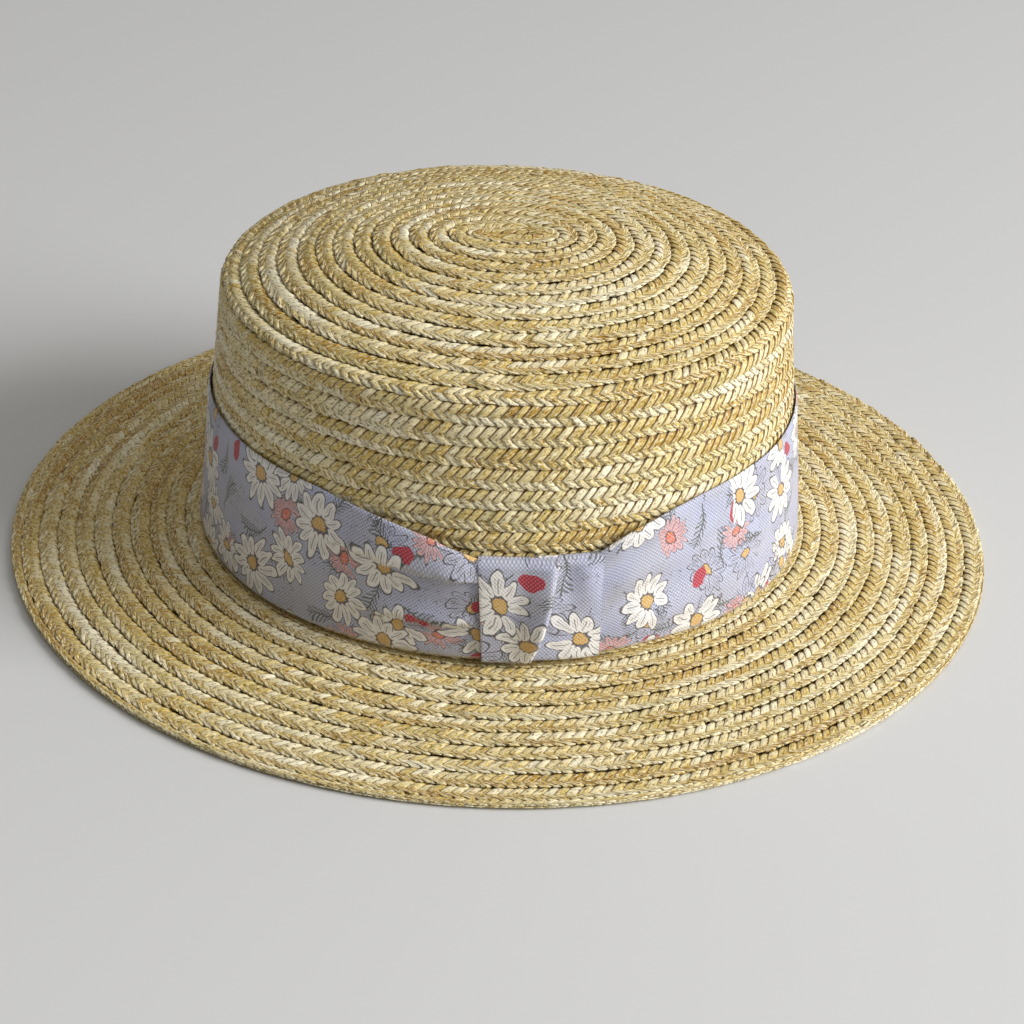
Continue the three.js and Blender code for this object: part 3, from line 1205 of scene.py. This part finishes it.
@dataclass(frozen=True)
class RibbonBand(ClothSheet):
    """The band: a ring of cloth, squeezed and folded beside the knot.

    around and levels: how many steps its grid has round the hat and up the band.
    """

    around: int = 520
    levels: int = 34
    folds: tuple[Fold, ...] = (
        Fold(-1, 0.78, 0.62, 62 * MM, 0.28, 3.8 * MM, 2.6 * MM),
        Fold(-1, 0.34, 0.20, 50 * MM, 0.16, 2.2 * MM, 1.1 * MM),
        Fold(1, 0.92, 0.94, 40 * MM, 0.10, 1.8 * MM),
        Fold(1, 0.60, 0.70, 48 * MM, 0.12, 1.6 * MM),
        Fold(1, 0.20, 0.32, 66 * MM, 0.14, 2.3 * MM),
    )

    def height_at(self, along: Array) -> Array:
        """Height of the band at a place along it.

        The shares of the way from the knot's height to the full width are given at places in knot widths,
        joined by straight lines and rounded with a running mean of Gaussian weights.

        Args:
            along: signed length from the knot's middle.

        Returns:
            Array: the knot's height at the knot, rising to the band's full width.
        """
        places = np.array([-2.6, -2, -1.3, -0.95, -0.62, -0.5, 0.42, 0.54, 0.74, 1.08, 1.46, 2])
        shares = np.array([1, 0.97, 0.72, 0.53, 0.18, 0, 0, 0.27, 0.56, 0.78, 0.9, 1])
        weights = np.exp(-0.5 * np.linspace(-3, 3, 25) ** 2)
        straight = np.interp(np.linspace(-3.12, 3.12, 624), places, shares)
        eased = np.convolve(straight, weights / weights.sum(), "valid")
        share = np.interp(along / self.knot_width, np.linspace(-3, 3, len(eased)), eased)
        return self.knot_height + (self.band_width - self.knot_height) * share

    def relief(self, along: Array, up: Array) -> tuple[Array, Array]:
        """How far the cloth stands out and how far it is pushed up or down, by folds and soft waves.

        A fold's crest is a bell across the band that fades in and out along it. A tucked fold rises sharply
        at its lower edge, where its cloth turns under itself.

        Args:
            along: signed length from the knot's middle.
            up: place up the band, as a share.

        Returns:
            tuple[Array, Array]: lift and shift up, in metres.
        """
        lift = 0.22 * MM * np.sin(along / (13 * MM) + 4 * up) * np.sin(3.1 * up + along / (41 * MM))
        lift = lift + 0.3 * MM + 0.9 * MM * smooth(44 * MM, 22 * MM, np.abs(along))
        right_of, left_of = (along - 26 * MM) / (24 * MM), (along + 20 * MM) / (16 * MM)
        raised = np.exp(-right_of ** 2) + 0.5 * np.exp(-left_of ** 2)
        shift = 1.7 * MM * raised * smooth(0.6, 0.0, up)
        for fold in self.folds:
            way = (along * fold.side - self.knot_width / 2 + 4 * MM) / fold.reach
            middle = fold.near + (fold.far - fold.near) * np.clip(way, 0, 1)
            fade = smooth(-0.05, 0.26, way) * smooth(1.0, 0.40, way)
            q = (up - middle) / fold.half
            if fold.tuck > 0:
                lift = lift + fold.lift * fade * smooth(-0.02, 0.16, q) * (0.25 + 0.75 * smooth(1.25, 0.2, q))
                x = (q - 0.07) / 0.10
                shift = shift - fold.tuck * fade * x * np.exp((1 - x * x) / 2)
            else:
                lift = lift + fold.lift * fade * np.exp(-q * q)
        return lift, shift

    def grid(self) -> Grid:
        """The closed band: its outer face from the foot up, then its inner face down.

        Returns:
            Grid: rows go round the hat from the knot, where the print's seam is hidden, and crowd near it.
        """
        turn = np.linspace(0, TURN, self.around, endpoint=False)
        angle = turn - 0.75 * np.sin(turn)
        along = ((angle + np.pi) % TURN - np.pi) * self.round_foot
        up = np.concatenate([np.linspace(0, 1, self.levels + 1), np.linspace(1, 0, self.levels + 1)])
        outer = np.r_[np.ones(self.levels + 1), np.zeros(self.levels + 1)]
        up2, along2 = up[None, :], along[:, None]
        lift, shift = self.relief(along2, up2)
        height = self.height_at(along2)
        level = self.sizes.band_foot + height * up2 + shift
        edge = 1 - 0.5 * smooth(0.93, 1.0, np.abs(2 * up2 - 1))
        radius = self.sizes.side_radius(level) + self.sizes.gap + lift + self.cloth * outer[None, :] * edge
        points = self.sizes.oval(radius, (angle + self.knot_angle)[:, None], level)
        u = np.append(angle - TURN, 0) * self.round_foot
        v = np.append(up, up[0]) * self.band_width
        uv = np.stack(np.broadcast_arrays(u[:, None] / MM, v[None, :] / MM), -1)
        return Grid(points, uv, loop_rows=True)

    def build(self, material: bpy.types.Material) -> bpy.types.Object:
        """Args:
            material: its material.

        Returns:
            bpy.types.Object: the band.
        """
        band = Piece("ribbon_band_cloth", "ribbon_cloth", ["ribbon_band"]).make(self.grid(), material)
        return band


@dataclass(frozen=True)
class KnotPart(ClothSheet):
    """One of the knot's two pieces of cloth, between a left and a right edge.

    left and right hold the edge's place along the band at the bottom, the middle and the top.
    seat: its distance off the crown's side. puff: how much further out it bulges. fold_side: how much of
    the bulge goes to the folded right edge. pleats: height of its fine pleats. drop and rise: how far it
    reaches past the band's foot and past the knot's height. shift: place in the print, in millimetres.
    """

    name: str = "ribbon_knot_part"
    left: tuple[float, float, float] = (0.0, 0.0, 0.0)
    right: tuple[float, float, float] = (0.0, 0.0, 0.0)
    seat: float = 1.0 * MM
    puff: float = 0.8 * MM
    fold_side: float = 0.0
    pleats: float = 0.0
    drop: float = 0.8 * MM
    rise: float = 0.6 * MM
    shift: tuple[float, float] = (0.0, 0.0)
    across_count: int = 40
    up_count: int = 40

    def grid(self) -> Grid:
        """The closed piece: rows run from its left edge to its right one, columns up its outer face.

        Its edges are parabolas through their three places. It stands out by seat + puff, with more of the
        puff towards a folded right edge, and turns in over the band at its top and bottom.

        Returns:
            Grid: the cloth.
        """
        x = np.linspace(0, 1, self.across_count)[:, None]
        up = np.concatenate([np.linspace(0, 1, self.up_count), np.linspace(1, 0, self.up_count)])[None, :]
        outer = np.r_[np.ones(self.up_count), np.zeros(self.up_count)][None, :]
        left, right = (np.polyval(np.polyfit([0, 0.5, 1], edge, 2), up) for edge in (self.left, self.right))
        crowded = 0.5 - 0.5 * np.cos(np.pi * x)
        along = left + (right - left) * crowded
        tall = self.knot_height + self.rise + self.drop
        level = self.sizes.band_foot - self.drop + tall * up
        flat = 1 - 0.86 * smooth(0.90, 1.0, np.abs(2 * up - 1)) ** 2
        rolled = np.sqrt(np.clip(1 - np.clip((crowded - 0.90) / 0.10, 0, 1) ** 2, 0, 1))
        tight = np.sqrt(np.clip(1 - np.clip((0.04 - crowded) / 0.04, 0, 1) ** 2, 0, 1))
        body = 0.55 + 0.45 * smooth(0, 0.8, crowded)
        fullness = smooth(-0.05, 0.35, up) * (1 - 0.5 * smooth(0.6, 1.0, up))
        swell = (0.05 + 0.95 * smooth(0.50, 1.02, crowded)) * fullness
        body = body * (1 - self.fold_side) + self.fold_side * swell
        stand = self.puff * body * (1 - self.fold_side * (1 - rolled)) * (0.45 + 0.55 * tight)
        upper = smooth(0.25, 0.9, up) * smooth(0.98, 0.86, up)
        pleat = self.pleats * np.sin(along / (1.9 * MM) + 1.2 * up) * upper
        wave = 0.12 * MM * np.sin(along / (5 * MM) + 5 * up)
        lift = self.seat * flat + (stand + pleat + wave) * flat
        radius = self.sizes.side_radius(level) + self.sizes.gap + lift + self.cloth * outer
        angle = self.knot_angle + along / self.round_foot
        points = self.sizes.oval(radius, angle, level)
        u = np.concatenate([along, along[:, :1]], 1) / MM + self.shift[0]
        v = np.concatenate([up, up[:, :1]], 1) * tall / MM + self.shift[1]
        uv = np.stack(np.broadcast_arrays(u, v), -1)
        return Grid(points, uv, mirrored=True)

    def build(self, material: bpy.types.Material, on: Sequence[str]) -> bpy.types.Object:
        """Args:
            material: its material.
            on: names of what it lies on; not used.

        Returns:
            bpy.types.Object: the piece.
        """
        piece = Piece(self.name, "ribbon_cloth", ["ribbon_knot"]).make(self.grid(), material)
        wide = (sum(self.right) - sum(self.left)) / 3
        tall = self.knot_height + self.rise + self.drop
        return piece


@dataclass(frozen=True)
class Bloom:
    """A kind of flower of the print: its spacing, radius and shift in millimetres, and how it is drawn."""

    spacing: float
    size: float
    petals: float
    shown: float
    filled: float
    fill: Colour
    heart: Colour
    shift: tuple[float, float]


WHITE, OCHRE, CORAL, ROSE = (0.95, 0.93, 0.90), (0.66, 0.37, 0.03), (0.72, 0.13, 0.05), (0.72, 0.32, 0.34)


@dataclass(frozen=True)
class PrintFinish:
    """Cotton with a sketched daisy print: pale blue ground, white flowers, thin dark lines, red buds.

    thread: width of a thread of the weave in millimetres.
    """

    ground: Colour = (0.39, 0.425, 0.635)
    grey: Colour = (0.41, 0.42, 0.52)
    light: Colour = (0.86, 0.87, 0.96)
    line: Colour = (0.035, 0.026, 0.03)
    bud: Colour = (0.44, 0.0, 0.035)
    leaf: Colour = (0.085, 0.10, 0.085)
    thread: float = 0.62
    roughness: float = 0.66
    sheen: float = 0.25
    blooms: tuple[Bloom, ...] = (
        Bloom(29.0, 7.4, 15.0, 0.60, 1.0, ROSE, CORAL, (11.0, 3.0)),
        Bloom(23.0, 9.6, 11.0, 0.72, 0.50, WHITE, OCHRE, (3.0, 15.0)),
        Bloom(28.0, 12.0, 11.0, 0.90, 0.92, WHITE, OCHRE, (0.0, 0.0)),
    )

    def build(self) -> bpy.types.Material:
        """Makes the material.

        Returns:
            bpy.types.Material: the print, laid out on the cloth's UV in millimetres.
        """
        board = Board("ribbon_print")
        u, v = board.lay()
        x = u + (board.noise(board.join(u * 0.11, v * 0.11), 1.0, 2.0) - 0.5) * 5.0
        y = v + (board.noise(board.join(v * 0.13 + 7.0, u * 0.13), 1.0, 2.0) - 0.5) * 5.0
        warp = (u * (TURN / 2 / self.thread)).sine()
        weft = (v * (TURN / 2 / self.thread)).sine()
        weave = warp * weft
        dot = weave * 0.5 + 0.5
        glint = dot * dot * dot
        bed = board.mix(glint * 0.70, self._scribble(board, x, y), self.light)
        colour = self._sprigs(board, bed, x + 7.0, y + 2.0)
        *behind, front = self.blooms
        for bloom in behind:
            colour = self._flowers(board, colour, x, y, bloom)
        colour = self._buds(board, colour, x + 4.0, y + 6.5)
        colour = self._flowers(board, colour, x, y, front)
        colour = board.mix((glint * 0.28).most(v.below(1.1, 0.4) * 0.3), colour, self.light)
        colour = board.mix(board.noise(board.join(u * 0.6, v * 0.6), 1.0, 3.0) * 0.12, colour, self.leaf)
        board.shade("Base Color", colour)
        board.shade("Roughness", dot * -0.1 + self.roughness)
        board.shade("Specular IOR Level", 0.45)
        board.shade("Sheen Weight", self.sheen)
        board.shade("Sheen Roughness", 0.5)
        board.bump(weave * 0.5 + board.noise(board.join(u * 2.2, v * 2.2), 1.0, 2.0) * 0.5, 0.12 * MM, 0.8)
        return board.material

    def _scribble(self, board: Board, x: Wire, y: Wire) -> Wire:
        """Ground colour with curls and hatching drawn in thin lines.

        Args:
            board: the material.
            x: place along the cloth in millimetres.
            y: place across it.

        Returns:
            Wire: the colour.
        """
        patch = board.noise(board.join(x * 0.075, y * 0.075), 1.0, 1.0).above(0.51, 0.05)
        curls = board.noise(board.join(x * 0.24, y * 0.30), 1.0, 1.0)
        lines = (curls * 10.0).rest().near(0.5, 0.05, 0.06)
        dull = board.noise(board.join(x * 0.05 + 3.0, y * 0.07), 1.0, 1.0).above(0.5, 0.25)
        bed = board.mix(dull * 0.75, self.ground, self.grey)
        return board.mix(lines * patch * 0.85, bed, self.line)

    def _sprigs(self, board: Board, under: Wire, x: Wire, y: Wire) -> Wire:
        """A layer of fine ferny sprigs over a colour: a stem and short leaves that slant away from it.

        Args:
            board: the material.
            under: colour below.
            x: place along the cloth in millimetres.
            y: place across it.

        Returns:
            Wire: the colour.
        """
        px, py, one, _ = self._turned_cells(board, x, y, 17.0)
        bent = py + px * px * 0.035
        stem = bent.size().below(0.26, 0.15) * px.size().below(7.0, 0.5)
        taper = (px * 0.16 + 1.1).most(0.1)
        leaves = (px * 0.75 - bent.size() * 0.6).rest().near(0.5, 0.20, 0.10)
        leaves = leaves * bent.size().below(taper * 1.6, 0.3) * px.size().below(6.2, 0.4)
        return board.mix(stem.most(leaves) * one.below(0.90, 0.01) * 0.95, under, self.leaf)

    @staticmethod
    def _turned_cells(board: Board, x: Wire, y: Wire, spacing: float) -> tuple[Wire, Wire, Wire, Wire]:
        """Places from the nearest of scattered middles, each turned its own way.

        Args:
            board: the material.
            x: place along the cloth in millimetres.
            y: place across it.
            spacing: distance between the middles.

        Returns:
            tuple[Wire, Wire, Wire, Wire]: X and Y in millimetres, and two random values of the middle.
        """
        dx, dy, one, two, three = board.cells(board.join(x / spacing, y / spacing), 0.8)
        c, s = (two * TURN).cosine(), (two * TURN).sine()
        return (dx * c - dy * s) * spacing, (dx * s + dy * c) * spacing, one, three

    def _flowers(self, board: Board, under: Wire, x: Wire, y: Wire, bloom: Bloom) -> Wire:
        """A layer of flowers over a colour.

        A petal is the ellipse ((x - 0.62) / 0.38)^2 + (y / w)^2 < 1 in the flower's size, turned round the
        middle; w is a share of the width that one petal may take.

        Args:
            board: the material.
            under: colour below.
            x: place along the cloth in millimetres.
            y: place across it.
            bloom: the kind of flower.

        Returns:
            Wire: the colour.
        """
        px, py, one, three = self._turned_cells(board, x + bloom.shift[0], y + bloom.shift[1], bloom.spacing)
        px, py = px / bloom.size, py * (three * 0.35 + 1.0) / bloom.size
        radius = (px * px + py * py).root()
        turn = (py.turned(px) / TURN + 0.5) * bloom.petals
        part = turn.rest()
        own = (((turn - part) * 0.731 + one * 7.0).sine() * 43.7).rest()
        bend = (part - 0.5 + (own - 0.5) * 0.16) * (TURN / bloom.petals)
        along, across = radius * bend.cosine() / (own * 0.30 + 0.80), radius * bend.sine()
        long = (along - 0.62) / 0.38
        wide = across / (1.85 / bloom.petals)
        far = (long * long + wide * wide).root()
        far = far + own.above(0.90, 0.01) * 4.0
        shape = far.below(1.0, 0.08)
        rim = far.near(1.0, 0.08, 0.08)
        vein = across.size().below(0.016, 0.02) * along.near(0.58, 0.22, 0.05)
        beside = (across.size() - 0.07).size().below(0.010, 0.02) * along.near(0.66, 0.14, 0.05)
        vein = vein.most(beside * 0.6)
        here = one.below(bloom.shown, 0.01)
        filled = three.below(bloom.filled, 0.01)
        tint = board.noise(board.join(x * 0.5, y * 0.5), 1.0, 1.0) * 0.35 + own * 0.15
        colour = board.mix(shape * filled * here, under, board.mix(tint, bloom.fill, self.light))
        colour = board.mix((rim * 0.92).most(vein * 0.75) * here, colour, self.line)
        heart = radius.below(0.22, 0.03)
        grain = board.noise(board.join(x * 2.6, y * 2.6), 1.0, 1.0).above(0.56, 0.1)
        colour = board.mix(heart * here, colour, board.mix(grain * 0.45, bloom.heart, WHITE))
        return board.mix(radius.near(0.22, 0.02, 0.03) * here * 0.7, colour, self.line)

    def _buds(self, board: Board, under: Wire, x: Wire, y: Wire) -> Wire:
        """A layer of red buds over a colour.

        Args:
            board: the material.
            under: colour below.
            x: place along the cloth in millimetres.
            y: place across it.

        Returns:
            Wire: the colour.
        """
        px, py, one, _ = self._turned_cells(board, x, y, 19.0)
        far = ((px / 3.6) * (px / 3.6) + (py / 2.2) * (py / 2.2)).root()
        hatch = (px * 1.1 + py * 0.5).rest().near(0.5, 0.10, 0.1)
        red = board.mix(hatch * 0.25, self.bud, CORAL)
        return board.mix(far.below(1.0, 0.08) * one.below(0.46, 0.01), under, red)


@dataclass(frozen=True)
class Camera:
    """The photo's view: angles in degrees, the lens in millimetres for a sensor 36 mm wide.

    rise: how high it looks from. turn: how far round from the front. roll: how far it leans. away: its
    distance from look_at, a height on the hat's axis. right and down: how far it is moved square to its view.
    """

    rise: float = 31.77
    turn: float = -0.04
    roll: float = 1.98
    lens: float = 98.44
    away: float = 889.6 * MM
    right: float = 2.885 * MM
    down: float = 34.30 * MM
    look_at: float = 46.45 * MM

    def build(self) -> bpy.types.Object:
        """Sets the camera up.

        Returns:
            bpy.types.Object: the camera.
        """
        el, az, roll = np.radians([self.rise, self.turn, self.roll])
        back = Vector((np.sin(az) * np.cos(el), -np.cos(az) * np.cos(el), np.sin(el)))
        level = Vector((np.cos(az), np.sin(az), 0.0))
        upright = back.cross(level)
        right = level * np.cos(roll) + upright * np.sin(roll)
        up = upright * np.cos(roll) - level * np.sin(roll)
        data = bpy.data.cameras.new("photo_view")
        data.lens, data.sensor_width = self.lens, 36.0
        camera = bpy.data.objects.new("photo_view", data)
        bpy.context.scene.collection.objects.link(camera)
        place = Vector((0, 0, self.look_at)) + back * self.away + right * self.right - up * self.down
        axes = Matrix((right, up, back)).transposed().to_4x4()
        camera.matrix_world = Matrix.Translation(place) @ axes
        bpy.context.scene.camera = camera
        bpy.context.scene.view_settings.view_transform = "Standard"
        return camera


@dataclass(frozen=True)
class Lamp:
    """A soft lamp that points at the hat: power in watts, width in metres."""

    name: str
    place: tuple[float, float, float]
    power: float
    width: float
    colour: Colour = (1.0, 1.0, 1.0)

    def build(self) -> None:
        """Hangs the lamp."""
        data = bpy.data.lights.new(self.name, "AREA")
        data.energy, data.size, data.color = self.power, self.width, self.colour
        lamp = bpy.data.objects.new(self.name, data)
        bpy.context.scene.collection.objects.link(lamp)
        place = Vector(self.place)
        aim = (Vector((0, 0, 0.05)) - place).to_track_quat("-Z", "Y")
        lamp.matrix_world = Matrix.Translation(place) @ aim.to_matrix().to_4x4()


@dataclass(frozen=True)
class Studio:
    """A pale floor painted darker further back and towards the lamp's side as painted shade, a sky brighter
    above, and a low window light.
    """

    half: float = 9.0
    floor: Colour = (0.690, 0.708, 0.742)
    # far_floor and lamp_floor: painted shade, the floor's colour further back and towards the lamp's side.
    far_floor: Colour = (0.565, 0.582, 0.605)
    lamp_floor: Colour = (0.26, 0.265, 0.275)
    sky: Colour = (1.0, 0.95, 0.86)
    sky_power: float = 0.06
    sky_least: float = 0.10
    sky_slope: tuple[float, float, float] = (0.20, 0.0, 0.46)
    lamps: tuple[Lamp, ...] = (
        Lamp("key", (2.30, -0.66, 1.30), 90.0, 1.5, (1.0, 0.985, 0.955)),
    )

    def build(self) -> None:
        """Builds the floor, the sky and the lamps."""
        mesh = bpy.data.meshes.new("floor")
        corners = ((-1, -1), (1, -1), (1, 1), (-1, 1))
        mesh.from_pydata([(x * self.half, y * self.half, 0) for x, y in corners], [], [(0, 1, 2, 3)])
        board = Board("floor")
        grain = board.noise(board.place(), 40.0, 3.0)
        across, away, _ = board.split(board.place())
        near = board.mix(grain * 0.10, self.floor, (0.65, 0.65, 0.65))
        # Painted shade: the floor darkens further back (+Y) and towards the lamp's side (+X).
        seen = board.mix(((away + 0.35) * 0.62).kept(), near, self.far_floor)
        board.shade("Base Color", board.mix(((across - 0.32) * 0.75).kept(), seen, self.lamp_floor))
        board.shade("Roughness", grain * 0.1 + 0.75)
        mesh.materials.append(board.material)
        floor = bpy.data.objects.new("floor", mesh)
        bpy.context.scene.collection.objects.link(floor)
        self._sky()
        for lamp in self.lamps:
            lamp.build()

    def _sky(self) -> None:
        """Makes the sky: its power is sky_power + slope . direction, and never less than sky_least."""
        world = bpy.data.worlds.new("sky")
        world.use_nodes = True
        tree = world.node_tree
        background = tree.nodes["Background"]
        background.inputs[0].default_value = (*self.sky, 1.0)
        way = tree.nodes.new("ShaderNodeTexCoord")
        dot = tree.nodes.new("ShaderNodeVectorMath")
        dot.operation = "DOT_PRODUCT"
        dot.inputs[1].default_value = self.sky_slope
        power = tree.nodes.new("ShaderNodeMath")
        power.inputs[1].default_value = self.sky_power
        least = tree.nodes.new("ShaderNodeMath")
        least.operation = "MAXIMUM"
        least.inputs[1].default_value = self.sky_least
        tree.links.new(way.outputs["Generated"], dot.inputs[0])
        tree.links.new(dot.outputs["Value"], power.inputs[0])
        tree.links.new(power.outputs[0], least.inputs[0])
        tree.links.new(least.outputs[0], background.inputs[1])
        bpy.context.scene.world = world


@dataclass(frozen=True)
class Hat:
    """The whole hat."""

    sizes: HatSizes

    def build(self) -> None:
        """Builds the straw and then the cloth on it."""
        straw = StrawFinish().build()
        cloth = PrintFinish().build()
        StrawCrown(self.sizes).build(straw)
        StrawBrim(self.sizes).build(straw)
        RibbonBand(self.sizes).build(cloth)
        wrap = KnotPart(self.sizes, name="ribbon_knot_wrap", left=(-8 * MM, -6 * MM, -4 * MM),
                        right=(16.5 * MM, 17.4 * MM, 18 * MM), seat=1.9 * MM, puff=0.7 * MM, pleats=0.6 * MM,
                        drop=0.0, rise=0.8 * MM, shift=(31.0, 23.0))
        tab = KnotPart(self.sizes, name="ribbon_knot_tab", left=(-17.5 * MM, -18.6 * MM, -19.6 * MM),
                       right=(-3.9 * MM, 1.6 * MM, 3.9 * MM), seat=3.0 * MM, puff=4.6 * MM, fold_side=0.95,
                       drop=0.3 * MM, rise=0.6 * MM, shift=(82.0, 10.0))
        wrap.build(cloth, ["ribbon_band_cloth"])
        tab.build(cloth, ["ribbon_knot_wrap"])


def main() -> None:
    """Builds the hat, the studio and the camera."""
    logging.basicConfig(level=logging.INFO, format="%(name)s: %(message)s", stream=sys.stdout)
    Hat(HatSizes.from_frame()).build()
    Studio().build()
    Camera().build()


if __name__ == "__main__":
    main()
